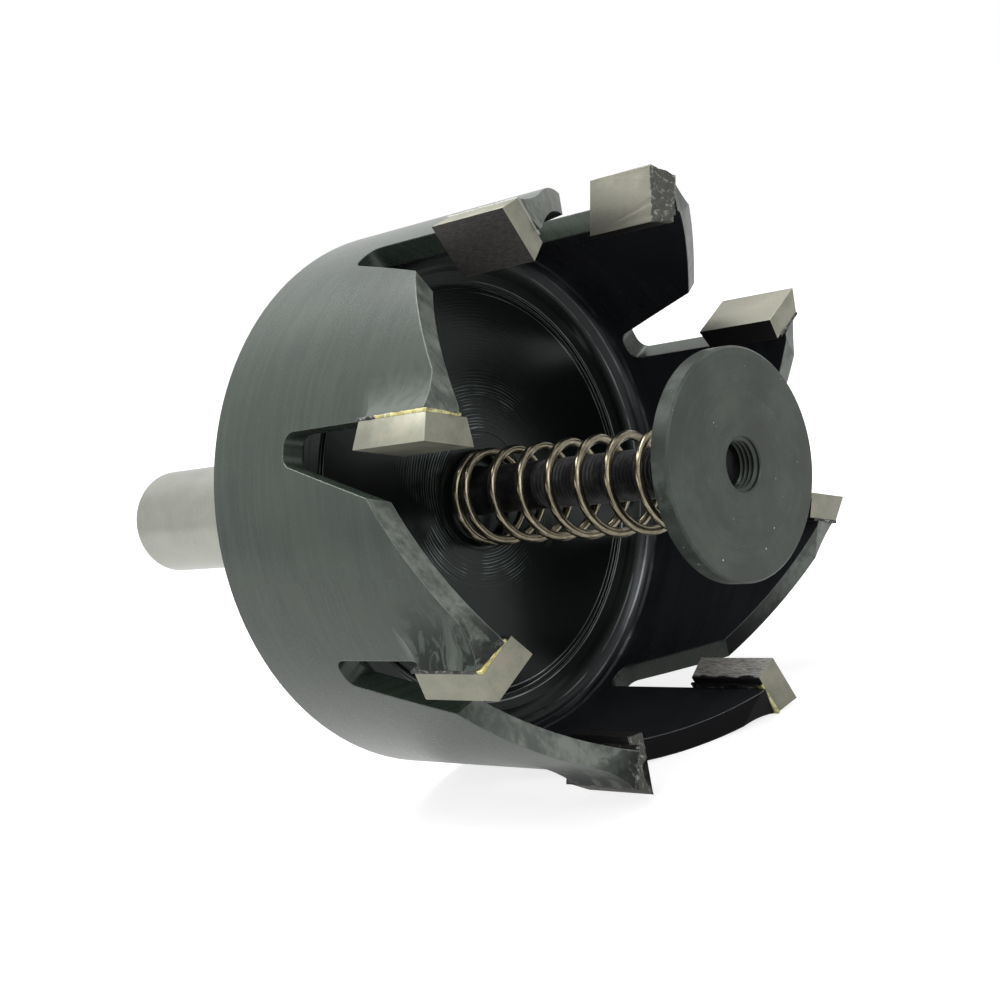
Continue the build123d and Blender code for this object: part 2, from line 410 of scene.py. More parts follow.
def landParts(shade, place, polar):
    # the sloping lands behind the teeth, rough and pale but for those on one side of the tool, which are
    # darkened with painted shade
    look = bodyLook
    along, out, turn = polar
    facing = shade.parts(shade.node("ShaderNodeTexCoord", output="Normal"))[0]
    land = shade.between(facing, *look["landFacing"]) * shade.between(along, *look["landAlong"])
    grit = shade.noise(shade.move(place, scale=look["gritStretch"]), *look["gritPattern"])
    stain = shade.noise(shade.move(place, look["stainShift"]), *look["stainPattern"])
    colour = shade.fade(grit * 0.45 + stain * 0.55, look["landSpan"], look["landDark"], look["land"])
    # painted shade: the lands on one side of the tool take a near black colour
    black = shade.between(facingTurn(shade, turn, look["shadedTurn"]), *look["shadedSideSpan"])
    return land, black, grit, shade.mix(black, colour, look["shadedLand"])


def fluxParts(shade, place, polar, outer):
    # flux that ran from the brazing: dark flows and pale ash just behind each seat
    look = bodyLook
    along, out, turn = polar
    behind = shade.between(toothBehind(shade, turn), *look["fluxBehind"])
    near = behind * shade.between(along, *look["fluxAlong"])
    dirty = shade.between(facingTurn(shade, turn, look["dirtiestTurn"]), *look["dirtySpan"])
    near = near * shade.spread(dirty, look["cleanSide"], 1.0)
    flow = shade.noise(shade.move(place, scale=look["flowStretch"]), *look["flowPattern"])
    fluxed = near * outer * shade.between(flow + near * 0.1, *look["fluxSpan"]) * look["fluxShare"]
    ash = near * outer * shade.between(flow, *look["ashSpan"]) * look["ashShare"]
    return near, flow, fluxed, ash


def blackenedSteel():
    look = bodyLook
    shade = startMaterial("blackenedSteel", Specular_IOR_Level=0.42)
    place = shade.coords()
    polar = toolCoords(shade)
    along, out, turn = polar
    # turned surfaces: lines follow the tool's path, so they vary with the distance along and out
    path = along + out + shade.noise(place, *look["swayPattern"]) * look["swayDepth"]
    fine = shade.turnedLines(path, turn, *look["finePattern"])
    broad = shade.turnedLines(path, turn, *look["broadPattern"])
    cloud = shade.noise(place, *look["cloudPattern"])
    speck = shade.noise(place, *look["speckPattern"])
    tone = broad * 0.35 + cloud * 0.45 + fine * 0.2
    outside = shade.fade(tone, look["outsideSpan"], look["outsideDark"], look["outside"])
    patches = shade.noise(shade.move(place, look["patchShift"]), *look["patchPattern"])
    patch = shade.between(patches, *look["patchSpan"])
    nearBack = shade.between(along, *look["nearBack"])
    lines = shade.between(fine, *look["lineSpan"]) * (patch * 0.55 + nearBack * 0.35)
    outside = shade.mix(lines, outside, look["turnedLine"])
    # painted shade in part: inside the cup the colour turns near black, darker than the outside's own
    # finish
    inward = shade.between(out, *look["insideOut"]) * shade.between(along, *look["insideAlong"])
    outer = 1 - inward
    inside, ring = insideColour(shade, place, polar, tone)
    land, black, grit, landColour = landParts(shade, place, polar)
    near, flow, fluxed, ash = fluxParts(shade, place, polar, outer)
    colour = shade.mix(inward, outside, inside)
    colour = shade.mix(land, colour, landColour)
    colour = shade.mix(fluxed, colour, look["flux"])
    colour = shade.mix(ash, colour, look["ash"])
    wear = shade.edgeMask(look["edgeRadius"], *look["edgeSpan"]) * shade.spread(cloud, 0.3, 1.0)
    colour = shade.mix(wear * look["wear"], colour, look["worn"])
    shade.feed("Base Color", colour)
    deep = inward * shade.between(along, look["filletTop"], look["floorTop"])
    shade.feed("Metallic", (land * black).most(deep * 0.65).most(fluxed) * 0.8 + 0.1)
    rough = shade.spread(tone, *look["roughness"]) + land * 0.16 + near * 0.2 + speck * outer * 0.03
    shade.feed("Roughness", rough - inward * 0.06)
    height = fine * 0.5 + broad * 0.4 + speck * outer * 0.06
    height = height + land * grit * 0.9 + near * flow * 1.4 + inward * ring * 0.5
    soft = shade.softEdge(look["edgeRadius"])
    shade.feed("Normal", shade.bump(height, *look["bump"], soft))
    return shade.owner


shankLook = {
    "bright": fromPicture(155, 156, 147),
    "dull": fromPicture(140, 141, 132),
    "toneSpan": (0.35, 0.65),
    "linePattern": (0.0005, 12000.0, 2.0, 0.6),
    "cloudPattern": (140.0, 4.0, 0.6),
    "scratchPattern": (30.0, 4.0, 0.7),
    "scratchSpan": (0.62, 0.7),
    "roughness": (0.24, 0.4),
    "bump": (0.3, 0.006 * mm),
    "edgeRadius": 0.15 * mm,
}


def groundSteel():
    look = shankLook
    shade = startMaterial("groundSteel", Metallic=1.0)
    along, out, turn = toolCoords(shade)
    lines = shade.turnedLines(along + out, turn, *look["linePattern"])
    cloud = shade.noise(shade.coords(), *look["cloudPattern"])
    scratches = shade.noise(shade.join(along * 40.0, turn * 8.0, out), *look["scratchPattern"])
    scratch = shade.between(scratches, *look["scratchSpan"])
    tone = lines * 0.5 + cloud * 0.5
    colour = shade.fade(tone, look["toneSpan"], look["dull"], look["bright"])
    shade.feed("Base Color", shade.mix(scratch * 0.4, colour, look["dull"]))
    shade.feed("Roughness", shade.spread(tone, *look["roughness"]) + scratch * 0.1)
    soft = shade.softEdge(look["edgeRadius"])
    shade.feed("Normal", shade.bump(lines * 0.8 + scratch * 0.3, *look["bump"], soft))
    return shade.owner


tipLook = {
    "ground": fromPicture(142, 142, 129),
    "dark": fromPicture(122, 122, 110),
    "warm": fromPicture(143, 137, 124),
    "sinteredLit": fromPicture(190, 188, 182),
    "sinteredLitDark": fromPicture(122, 120, 116),
    "residueAndShade": fromPicture(24, 23, 23),
    "paintedShade": fromPicture(80, 78, 75),
    "paintedShadeDark": fromPicture(63, 61, 59),
    "pit": fromPicture(44, 43, 40),
    "fresh": fromPicture(196, 195, 184),
    "broken": fromPicture(92, 92, 88),
    "brokenPale": fromPicture(158, 160, 152),
    "roughness": (0.44, 0.58),
    "bump": (0.3, 0.012 * mm),
    "edgeRadius": 0.1 * mm,
    "edgeSpan": (0.02, 0.3),
    "wear": 0.5,
    # which way a tip's faces look
    "outerFacing": (0.6, 0.8),
    "innerFacing": (-0.6, -0.8),
    "rakeFacing": (0.6, 0.8),
    "heelFacing": (-0.5, -0.7),
    "endFacing": (0.15, 0.5),
    # the carbide itself
    "grindPattern": (2.0, 3.0, 0.6),
    "grainPattern": (14.0, 3.0, 0.7),
    "cloudPattern": (0.45, 3.0, 0.55),
    "toneSpan": (0.34, 0.66),
    "warmSpan": (0.5, 0.7),
    "warmShare": 0.6,
    "drawnPattern": (1.3, 3.0, 0.7),
    "drawnSpan": (0.38, 0.62),
    "pitPattern": (2.6, 3.0, 0.6),
    "pitSpan": (0.69, 0.73),
    "pitHeight": (2.2, 0.4),
    # what has settled on it, the painted shade over some faces, and the broken ends
    "creepAndShadeSpan": (-0.9, -1.2),
    "paintedShadeSpan": (0.5, 0.75),
    "smearedShadeSpan": (0.4, 0.62),
    "crustPattern": (2.2, 4.0, 0.65, 0.6),
    "raggedDepth": (0.5, 0.1),
    "crustSpan": (0.54, 0.66),
    "grainSpan": (0.58, 0.66),
}


def carbide(name, broken):
    # ground faces carry fine slanting lines; the inner face is as it was sintered, and its pale colour is
    # partly painted light
    look = tipLook
    shade = startMaterial(name, Specular_IOR_Level=0.1)
    local = shade.attribute("tipCoord")
    outward, cutting, upward = shade.parts(shade.attribute("tipFacing"))
    rakeShade, innerShade, outerShade = shade.parts(shade.attribute("tipShade"))
    x, y, z = shade.parts(local)
    grind = shade.noise(shade.join((x + z) * 5.0, (x - z) * 0.35, y * 2.0), *look["grindPattern"])
    grain = shade.noise(local, *look["grainPattern"])
    cloud = shade.noise(local, *look["cloudPattern"])
    pits = shade.between(shade.noise(local, *look["pitPattern"]), *look["pitSpan"])
    tone = grind * 0.3 + grain * 0.15 + cloud * 0.55
    colour = shade.fade(tone, look["toneSpan"], look["dark"], look["ground"])
    colour = shade.mix(shade.between(cloud, *look["warmSpan"]) * look["warmShare"], colour, look["warm"])
    inner = shade.between(outward, *look["innerFacing"])
    drawn = shade.noise(shade.join(x * 6.0, y * 9.0, z * 0.9), *look["drawnPattern"])
    # painted light in part: the sintered inner face is given a pale colour to lift it out of its shade
    sinteredLit = shade.fade(drawn, look["drawnSpan"], look["sinteredLitDark"], look["sinteredLit"])
    colour = shade.mix(inner, colour, sinteredLit)
    # near black over the heel and creeping over the inner face from it: partly brazing residue, partly
    # painted shade where the seat hides these faces
    creepAndShade = inner * shade.between(y + cloud * 1.2 + grain * 0.4 - innerShade * 2.6, *look["creepAndShadeSpan"])
    creepAndShade = creepAndShade.most(shade.between(cutting, *look["heelFacing"]))
    colour = shade.mix(creepAndShade, colour, look["residueAndShade"])
    # painted shade: some rake and outer faces are darkened in a smeared pattern, standing in for the dark
    # surroundings they reflect
    outerShade = shade.between(outward, *look["outerFacing"]) * outerShade
    paintedShade = (shade.between(cutting, *look["rakeFacing"]) * rakeShade).most(outerShade)
    paintedShade = paintedShade * shade.between(cloud * 0.6 + drawn * 0.4 + paintedShade * 0.5, *look["paintedShadeSpan"])
    smearedShade = shade.fade(drawn, look["smearedShadeSpan"], look["paintedShadeDark"], look["paintedShade"])
    colour = shade.mix(paintedShade, colour, smearedShade)
    pitted = pits * (shade.between(z, *[tipFoot + height for height in look["pitHeight"]]) + 0.1)
    colour = shade.mix(pitted, colour, look["pit"])
    wear = shade.edgeMask(look["edgeRadius"], *look["edgeSpan"])
    colour = shade.mix(wear * look["wear"] * (1 - creepAndShade), colour, look["fresh"])
    rough = shade.spread(tone, *look["roughness"]) + inner * 0.1
    metal = (0.92 - inner.most(paintedShade) * 0.7) * (1 - creepAndShade)
    height = grind * 0.5 + grain * 0.3 - pitted * 2.0 + inner * drawn * 2.0
    if broken:
        crust = shade.noise(local, *look["crustPattern"])
        edge = shade.between(z + crust * 1.6, *[tipTop - depth for depth in look["raggedDepth"]])
        end = shade.between(upward, *look["endFacing"]).most(edge)
        colour = shade.mix(end, colour, look["broken"])
        colour = shade.mix(end * shade.between(crust, *look["crustSpan"]), colour, look["brokenPale"])
        colour = shade.mix(end * shade.between(grain, *look["grainSpan"]) * 0.8, colour, look["pit"])
        rough = rough + end * 0.2
        metal = metal * (1 - end * 0.6)
        height = height + end * (crust * 4.0 + grain * 1.5)
    shade.feed("Base Color", colour)
    shade.feed("Roughness", rough)
    shade.feed("Metallic", metal)
    shade.feed("Normal", shade.bump(height, *look["bump"]))
    return shade.owner


brazeLook = {
    "silver": fromPicture(206, 202, 156),
    "brass": fromPicture(186, 176, 112),
    "tarnish": fromPicture(104, 100, 88),
    "scale": fromPicture(58, 58, 56),
    "ash": fromPicture(146, 148, 141),
    "flux": fromPicture(26, 26, 25),
    "cloudPattern": (700.0, 4.0, 0.6),
    "crustPattern": (1700.0, 4.0, 0.7),
    "silverSpan": (0.4, 0.6),
    "tarnishSpan": (0.52, 0.62),
    "scaleSpan": (0.5, 0.62),
    "fluxSpan": (0.46, 0.58),
    "ashSpan": (0.35, 0.6),
    "cleanSpan": (0.4, 0.55),
    "roughness": (0.25, 0.6),
    "bump": (0.5, 0.05 * mm),
}


def brazeMetal():
    # bright where the bead was cleaned, and under black scale and pale ash elsewhere; its inner side
    # carries painted shade
    look = brazeLook
    shade = startMaterial("brazeMetal", Metallic=0.6)
    place = shade.coords()
    clean, depth, pale = shade.parts(shade.attribute("brazeShown"))
    cloud = shade.noise(place, *look["cloudPattern"])
    crust = shade.noise(place, *look["crustPattern"])
    bright = shade.fade(cloud, look["silverSpan"], look["brass"], look["silver"])
    bright = shade.mix(shade.between(crust, *look["tarnishSpan"]) * 0.6, bright, look["tarnish"])
    dull = shade.fade(crust, look["scaleSpan"], look["scale"], look["ash"])
    dull = shade.fade(cloud, look["fluxSpan"], dull, look["flux"])
    dull = shade.fade(pale + (crust - 0.5) * 0.8, look["ashSpan"], dull, look["ash"])
    shown = shade.between(clean + (cloud - 0.5) * 1.2, *look["cleanSpan"])
    colour = shade.mix(shown, dull, bright)
    # painted shade: the bead's inner side, which the seat keeps in shade, takes the near black colour
    colour = shade.mix(depth, colour, look["flux"])
    shade.feed("Base Color", colour)
    shade.feed("Roughness", shade.spread(crust, *look["roughness"]) + (1 - shown) * 0.1)
    shade.feed("Normal", shade.bump(crust * 0.7 + cloud * 0.5, *look["bump"]))
    return shade.owner


springLook = {
    "warm": fromPicture(150, 143, 124),
    "brown": fromPicture(98, 91, 76),
    "toneSpan": (0.35, 0.65),
    "drawPattern": (2.0, 3.0, 0.6),
    "cloudPattern": (700.0, 3.0, 0.6),
    "roughness": (0.14, 0.3),
    "bump": (0.12, 0.006 * mm),
}


def springWire():
    # drawn lines run along the wire
    look = springLook
    shade = startMaterial("springWire", Metallic=0.95)
    length, side, wave = shade.parts(shade.attribute("wireCoord"))
    draw = shade.noise(shade.join(length * 0.3, side * 6.0, wave * 1.2), *look["drawPattern"])
    cloud = shade.noise(shade.coords(), *look["cloudPattern"])
    tone = draw * 0.6 + cloud * 0.4
    shade.feed("Base Color", shade.fade(tone, look["toneSpan"], look["brown"], look["warm"]))
    shade.feed("Roughness", shade.spread(tone, *look["roughness"]))
    shade.feed("Normal", shade.bump(draw, *look["bump"]))
    return shade.owner


discLook = {
    "steel": fromPicture(66, 74, 67),
    "dark": fromPicture(45, 51, 46),
    "rim": fromPicture(120, 126, 119),
    "side": fromPicture(40, 45, 41),
    "speck": fromPicture(214, 216, 210),
    "sideDepth": 0.3 * mm,
    "ringPattern": (0.0006, 3400.0, 3.0, 0.6),
    "broadPattern": (0.001, 900.0, 2.0),
    "cloudPattern": (160.0, 4.0, 0.6),
    "toneSpan": (0.36, 0.64),
    "speckPattern": (2300.0, 2.0, 0.5),
    "speckSpan": (0.75, 0.79),
    "blotPattern": (900.0, 4.0, 0.65),
    "blotSpan": (0.62, 0.4),
    "edgeRadius": 0.14 * mm,
    "edgeSpan": (0.02, 0.25),
    "wearSpan": (0.4, 0.62),
    "wear": 0.6,
    "roughness": (0.32, 0.5),
    "bump": (0.25, 0.007 * mm),
}


def darkSteel():
    look = discLook
    shade = startMaterial("darkSteel", Metallic=0.35, Specular_IOR_Level=0.5)
    place = shade.coords()
    along, out, turn = toolCoords(shade)
    rings = shade.turnedLines(along + out, turn, *look["ringPattern"])
    broad = shade.turnedLines(along + out, turn, *look["broadPattern"])
    cloud = shade.noise(place, *look["cloudPattern"])
    speck = shade.between(shade.noise(place, *look["speckPattern"]), *look["speckSpan"])
    tone = rings * 0.15 + cloud * 0.7 + broad * 0.15
    colour = shade.fade(tone, look["toneSpan"], look["dark"], look["steel"])
    # the rim's side is darker than the face, in blots, and its corners are lighter: worn edges with a
    # painted highlight along the rim
    low, high = toolBox("ejector_disc")
    rim = high.x * mm
    face = high.z * mm
    depth = look["sideDepth"]
    blot = shade.between(shade.noise(place, *look["blotPattern"]), *look["blotSpan"])
    side = shade.between(out, rim - depth, rim - depth / 2) * shade.between(along, face, face - depth)
    colour = shade.mix(side * blot, colour, look["side"])
    wear = shade.edgeMask(look["edgeRadius"], *look["edgeSpan"])
    wear = wear * shade.between(cloud, *look["wearSpan"]) * look["wear"]
    colour = shade.mix(wear, colour, look["rim"])
    shade.feed("Base Color", shade.mix(speck, colour, look["speck"]))
    shade.feed("Roughness", shade.spread(tone, *look["roughness"]))
    shade.feed("Normal", shade.bump(rings * 0.8 + cloud * 0.3, *look["bump"]))
    return shade.owner


screwLook = {
    "dark": fromPicture(34, 32, 36),
    "scuffed": fromPicture(70, 68, 70),
    "worn": fromPicture(132, 130, 128),
    "cloudPattern": (500.0, 4.0, 0.6),
    "scuffSpan": (0.4, 0.7),
    "finePattern": (5200.0, 2.0, 0.6),
    "edgeRadius": 0.08 * mm,
    "edgeSpan": (0.02, 0.3),
    "wear": 0.6,
    "roughness": (0.28, 0.45),
    "bump": (0.25, 0.008 * mm),
}


def blackScrew():
    look = screwLook
    shade = startMaterial("blackScrew", Metallic=0.4)
    place = shade.coords()
    cloud = shade.noise(place, *look["cloudPattern"])
    fine = shade.noise(place, *look["finePattern"])
    wear = shade.edgeMask(look["edgeRadius"], *look["edgeSpan"]) * look["wear"]
    colour = shade.fade(cloud, look["scuffSpan"], look["dark"], look["scuffed"])
    shade.feed("Base Color", shade.mix(wear, colour, look["worn"]))
    shade.feed("Roughness", shade.spread(cloud, *look["roughness"]))
    shade.feed("Normal", shade.bump(fine, *look["bump"]))
    return shade.owner


# Pieces

def keepPiece(name, work, body, stoodFor, material, smoothBelow=30):
    # turns a finished bmesh in tool millimetres into a piece that rides on its body
    for vert in work.verts:
        # nothing stands out past the cup, which the tool lies on
        vert.co.x = min(cupRadius, max(-cupRadius, vert.co.x))
        vert.co.y = min(cupRadius, max(-cupRadius, vert.co.y))
    bmesh.ops.transform(work, matrix=toolPlace, verts=work.verts)
    mesh = bpy.data.meshes.new(name)
    work.to_mesh(mesh)
    work.free()
    mesh.shade_smooth()
    mesh.set_sharp_from_angle(angle=math.radians(smoothBelow))
    mesh.materials.append(material)
    piece = bpy.data.objects.new(name, mesh)
    bpy.context.scene.collection.objects.link(piece)
    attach(piece, body)
    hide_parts(*stoodFor)
    return piece


def storeCoords(work, name, points):
    # keeps a place for each vertex, which a material reads back by name
    layer = work.verts.layers.float_vector.new(name)
    for vert, point in zip(work.verts, points):
        vert[layer] = point


def lathe(work, outline, steps, mergeWithin):
    # spins an outline of radius and height points round the axis, and closes its seam and poles
    verts = [work.verts.new((radius, 0, height)) for radius, height in outline]
    edges = [work.edges.new(pair) for pair in zip(verts, verts[1:])]
    bmesh.ops.spin(
        work, geom=verts + edges, cent=(0, 0, 0), axis=(0, 0, 1), dvec=(0, 0, 0),
        angle=math.tau, steps=steps, use_merge=True, use_duplicate=False,
    )
    bmesh.ops.remove_doubles(work, verts=work.verts, dist=mergeWithin)


threadShape = {
    "flankShare": 0.92,
    "flatShare": 1 / 14,
    "runOutTurns": 1 / 3,
    "startStep": 0.3,
}


def threadRidge(work, crest, root, pitch, start, turns, steps):
    # a helical ridge with a flattened crest; the root is inside it on a screw and outside it in a hole
    shape = threadShape
    foot = pitch / 2 * shape["flankShare"]
    flat = pitch * shape["flatShare"]
    outline = [(root, -foot), (crest, -flat), (crest, flat), (root, foot)]
    verts = [work.verts.new((radius, 0, start + height)) for radius, height in outline]
    edges = [work.edges.new(pair) for pair in zip(verts, verts[1:] + verts[:1])]
    count = round(steps * turns)
    before = len(work.verts) - len(verts)
    made = bmesh.ops.spin(
        work, geom=verts + edges, cent=(0, 0, 0), axis=(0, 0, 1), dvec=(0, 0, pitch / steps),
        angle=math.tau * turns, steps=count, use_merge=False, use_duplicate=False,
    )
    last = [item for item in made["geom_last"] if isinstance(item, bmesh.types.BMVert)]
    work.faces.new(verts)
    work.faces.new(sortRound(last))
    # at both ends the crest sinks into the root
    work.verts.ensure_lookup_table()
    for place, vert in enumerate(work.verts[before:]):
        ring = place // len(outline)
        fromEnd = min(ring, count - ring) + shape["startStep"]
        share = min(1.0, fromEnd / (steps * shape["runOutTurns"]))
        radius = vert.co.xy.length
        if math.isclose(radius, crest, abs_tol=1e-3):
            vert.co.xy *= (root + (crest - root) * share) / radius


def sortRound(verts):
    # the end ring's corners in the order that makes a face
    centre = sum((vert.co for vert in verts), Vector()) / len(verts)
    outward = Vector((centre.x, centre.y, 0)).normalized()
    return sorted(verts, key=lambda vert: math.atan2(vert.co.z - centre.z, (vert.co - centre).dot(outward)))


springSizes = {
    "wire": 0.95,
    "closedGap": 0.1,
    "closedTurns": 1.2,
    "activeTurns": 7.4,
    "startAngle": 127.0,
    "stepsPerTurn": 40,
    "wireSides": 18,
    "patternWaves": 3,
}


def buildSpring(material):
    sizes = springSizes
    wire = sizes["wire"]
    low, high = toolBox("ejector_spring")
    radius = (high.x - low.x - wire) / 2
    middle = (low.x + high.x) / 2
    first = low.z + wire / 2
    last = high.z - wire / 2
    closedPitch = wire + sizes["closedGap"]
    closedHeight = closedPitch * sizes["closedTurns"]
    activePitch = (last - first - 2 * closedHeight) / sizes["activeTurns"]
    stretches = [
        (closedPitch, sizes["closedTurns"]),
        (activePitch, sizes["activeTurns"]),
        (closedPitch, sizes["closedTurns"]),
    ]
    work = bmesh.new()
    place = (
        Matrix.Rotation(math.radians(sizes["startAngle"]), 4, "Z")
        @ Matrix.Translation((radius, 0, first))
        @ Matrix.Rotation(math.radians(90), 4, "X")
    )
    ring = bmesh.ops.create_circle(work, cap_ends=False, segments=sizes["wireSides"], radius=wire / 2)
    bmesh.ops.transform(work, matrix=place, verts=ring["verts"])
    geometry = list(work.verts) + list(work.edges)
    for pitch, turns in stretches:
        steps = round(sizes["stepsPerTurn"] * turns)
        made = bmesh.ops.spin(
            work, geom=geometry, cent=(0, 0, 0), axis=(0, 0, 1), dvec=(0, 0, pitch * turns / steps),
            angle=math.tau * turns, steps=steps, use_merge=False, use_duplicate=False,
        )
        geometry = made["geom_last"]
    bmesh.ops.holes_fill(work, edges=[edge for edge in work.edges if edge.is_boundary], sides=0)
    bmesh.ops.recalc_face_normals(work, faces=work.faces)
    # the pattern's place: how far along the wire, how far out, and a wave round the coil
    points = []
    for vert in work.verts:
        length = vert.co.z * math.tau * radius / activePitch
        wave = math.sin(math.atan2(vert.co.y, vert.co.x) * sizes["patternWaves"])
        points.append((length, vert.co.xy.length - radius, wave))
    storeCoords(work, "wireCoord", points)
    bmesh.ops.translate(work, vec=(middle, 0, 0), verts=work.verts)
    piece = keepPiece("ejectorSpring", work, "cutter", ["ejector_spring"], material, 60)
    # how much of its length the ejector's full travel would leave is worked out below; nothing uses it
    lowest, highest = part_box("ejector_spring")
    length = highest.x - lowest.x
    slide = next(joint for joint in frame["joints"] if joint["name"] == "ejector_slide")
    (length - slide["range_m"][1]) / length
    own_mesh(piece)


discSizes = {
    "flange": 2.0,
    "rimChamfer": 0.2,
    "hub": 3.1,
    "hubChamfer": 0.2,
    "hole": 2.5,
    "holeChamfer": 0.12,
    "threadCrest": 2.22,
    "threadPitch": 0.5,
    "threadSunk": 0.02,
    "threadInset": 0.3,
    "threadSteps": 36,
    "steps": 160,
    "mergeWithin": 1e-4,
}


def buildDisc(material):
    sizes = discSizes
    low, high = toolBox("ejector_disc")
    rim = (high.x - low.x) / 2
    back = high.z - sizes["flange"]
    cut = sizes["rimChamfer"]
    hub = sizes["hub"]
    hubCut = sizes["hubChamfer"]
    hole = sizes["hole"]
    holeCut = sizes["holeChamfer"]
    outline = [
        (hole, low.z),
        (hub - hubCut, low.z),
        (hub, low.z + hubCut),
        (hub, back),
        (rim - cut, back),
        (rim, back + cut),
        (rim, high.z - cut),
        (rim - cut, high.z),
        (hole + holeCut, high.z),
        (hole, high.z - holeCut),
        (hole, low.z),
    ]
    work = bmesh.new()
    lathe(work, outline, sizes["steps"], sizes["mergeWithin"])
    # the hole's thread shows in front of the screw's end
    pitch = sizes["threadPitch"]
    start = toolBox("ejector_screw")[1].z + sizes["threadInset"]
    turns = (high.z - sizes["threadInset"] - start) / pitch
    root = hole + sizes["threadSunk"]
    threadRidge(work, sizes["threadCrest"], root, pitch, start, turns, sizes["threadSteps"])
    bmesh.ops.recalc_face_normals(work, faces=work.faces)
    keepPiece("ejectorDisc", work, "ejector", ["ejector_disc"], material)


screwSizes = {
    "crest": 2.47,
    "root": 2.18,
    "pitch": 0.5,
    "threadLength": 22.0,
    "threadSunk": 0.03,
    "threadInset": 0.1,
    "threadEnd": 0.45,
    "threadSteps": 32,
    "neckLength": 0.5,
    "shaft": 2.475,
    "headHeight": 5.0,
    "headRound": 0.5,
    "roundSteps": 6,
    "tipChamfer": 0.15,
    "pole": 0.0001,
    "steps": 72,
    "mergeWithin": 2e-3,
}


def buildScrew(material):
    sizes = screwSizes
    low, high = toolBox("ejector_screw")
    head = (high.x - low.x) / 2
    curve = sizes["headRound"]
    underHead = low.z + sizes["headHeight"]
    neck = high.z - sizes["threadLength"]
    outline = [(sizes["pole"], low.z), (head - curve, low.z)]
    for step in range(1, sizes["roundSteps"] + 1):
        angle = math.radians(90 * step / sizes["roundSteps"])
        outline.append((head - curve * (1 - math.sin(angle)), low.z + curve * (1 - math.cos(angle))))
    outline += [
        (head, underHead),
        (sizes["shaft"], underHead),
        (sizes["shaft"], neck),
        (sizes["root"], neck + sizes["neckLength"]),
        (sizes["root"], high.z - sizes["tipChamfer"]),
        (sizes["root"] - sizes["tipChamfer"], high.z),
        (sizes["pole"], high.z),
    ]
    work = bmesh.new()
    lathe(work, outline, sizes["steps"], sizes["mergeWithin"])
    pitch = sizes["pitch"]
    start = neck + sizes["threadInset"]
    turns = (high.z - sizes["threadEnd"] - neck) / pitch
    root = sizes["root"] - sizes["threadSunk"]
    threadRidge(work, sizes["crest"], root, pitch, start, turns, sizes["threadSteps"])
    bmesh.ops.recalc_face_normals(work, faces=work.faces)
    keepPiece("ejectorScrew", work, "ejector", ["ejector_screw"], material)


def lumps(place, layers):
    # smooth lumps of several sizes added up, each layer with its scale and its share
    return sum(share * noise.noise(place * scale) for scale, share in layers)


tipSizes = {
    "mergeWithin": 1e-4,
    "flatAngle": 1,
    "cornerAngle": 25,
    "edgeRound": 0.07,
    "roundSteps": 2,
    "patternShift": 7.0,
    # how much painted shade lies on each tip's rake, inner and outer face; the inner share also sets how
    # far the dark creep reaches
    "paintedShade": {
        1: (0, -0.2, 0), 2: (0, 0.5, 0), 3: (0.3, 1, 0), 4: (0.4, 1, 0),
        5: (1, 1, 0), 6: (0, 1, 0), 7: (0, 0.8, 0), 8: (0.8, 1, 1),
    },
    # broken ends
    "brokenBelow": 0.2,
    "endFacing": 0.3,
    "breakRounds": 7,
    "breakStep": 0.32,
    "breakDepth": 0.16,
    "breakSideways": 0.25,
    "breakScale": 1.1,
    "breakShift": 9.0,
    "breakLayers": ((1.0, 1.0), (2.3, 0.5), (5.1, 0.3)),
}


def buildTip(index, sound, broken):
    sizes = tipSizes
    name = f"carbide_tip_{index}"
    turnBack = toothPlace(index).inverted()
    work = bmesh.new()
    work.from_mesh(nodes[name].data)
    bmesh.ops.transform(work, matrix=turnBack @ toolPlaceBack, verts=work.verts)
    bmesh.ops.remove_doubles(work, verts=work.verts, dist=sizes["mergeWithin"])
    flatAngle = math.radians(sizes["flatAngle"])
    bmesh.ops.dissolve_limit(work, angle_limit=flatAngle, verts=work.verts, edges=work.edges)
    work.normal_update()
    isBroken = max(vert.co.z for vert in work.verts) < tipTop - sizes["brokenBelow"]
    cornerAngle = math.radians(sizes["cornerAngle"])
    corners = [edge for edge in work.edges if edge.calc_face_angle(0) > cornerAngle]
    bmesh.ops.bevel(
        work, geom=corners, offset=sizes["edgeRound"], affect="EDGES",
        segments=sizes["roundSteps"], profile=0.5, material=-1, clamp_overlap=True,
    )
    if isBroken:
        roughenEnd(work, index)
    work.normal_update()
    shift = Vector((sizes["patternShift"] * index, 0, 0))
    storeCoords(work, "tipFacing", [vert.normal.copy() for vert in work.verts])
    storeCoords(work, "tipCoord", [vert.co + shift for vert in work.verts])
    storeCoords(work, "tipShade", [sizes["paintedShade"][index]] * len(work.verts))
    bmesh.ops.transform(work, matrix=toothPlace(index), verts=work.verts)
    keepPiece(f"carbideTip{index}", work, "cutter", [name], broken if isBroken else sound)


def roughenEnd(work, index):
    # divides a broken end finely and gives it the ragged surface of fractured carbide
    sizes = tipSizes

    def endFaces():
        return [face for face in work.faces if face.normal.z > sizes["endFacing"]]

    for _ in range(sizes["breakRounds"]):
        ends = set(endFaces())
        edges = [
            edge for edge in work.edges
            if edge.calc_length() > sizes["breakStep"] and ends.intersection(edge.link_faces)
        ]
        if not edges:
            break
        bmesh.ops.subdivide_edges(work, edges=edges, cuts=1)
        bmesh.ops.triangulate(work, faces=work.faces)
        work.normal_update()
    shift = Vector((0, 0, sizes["breakShift"] * index))
    for vert in {vert for face in endFaces() for vert in face.verts}:
        lump = lumps(vert.co * sizes["breakScale"] + shift, sizes["breakLayers"])
        vert.co += Vector((sizes["breakSideways"] * lump, 0, lump)) * sizes["breakDepth"]


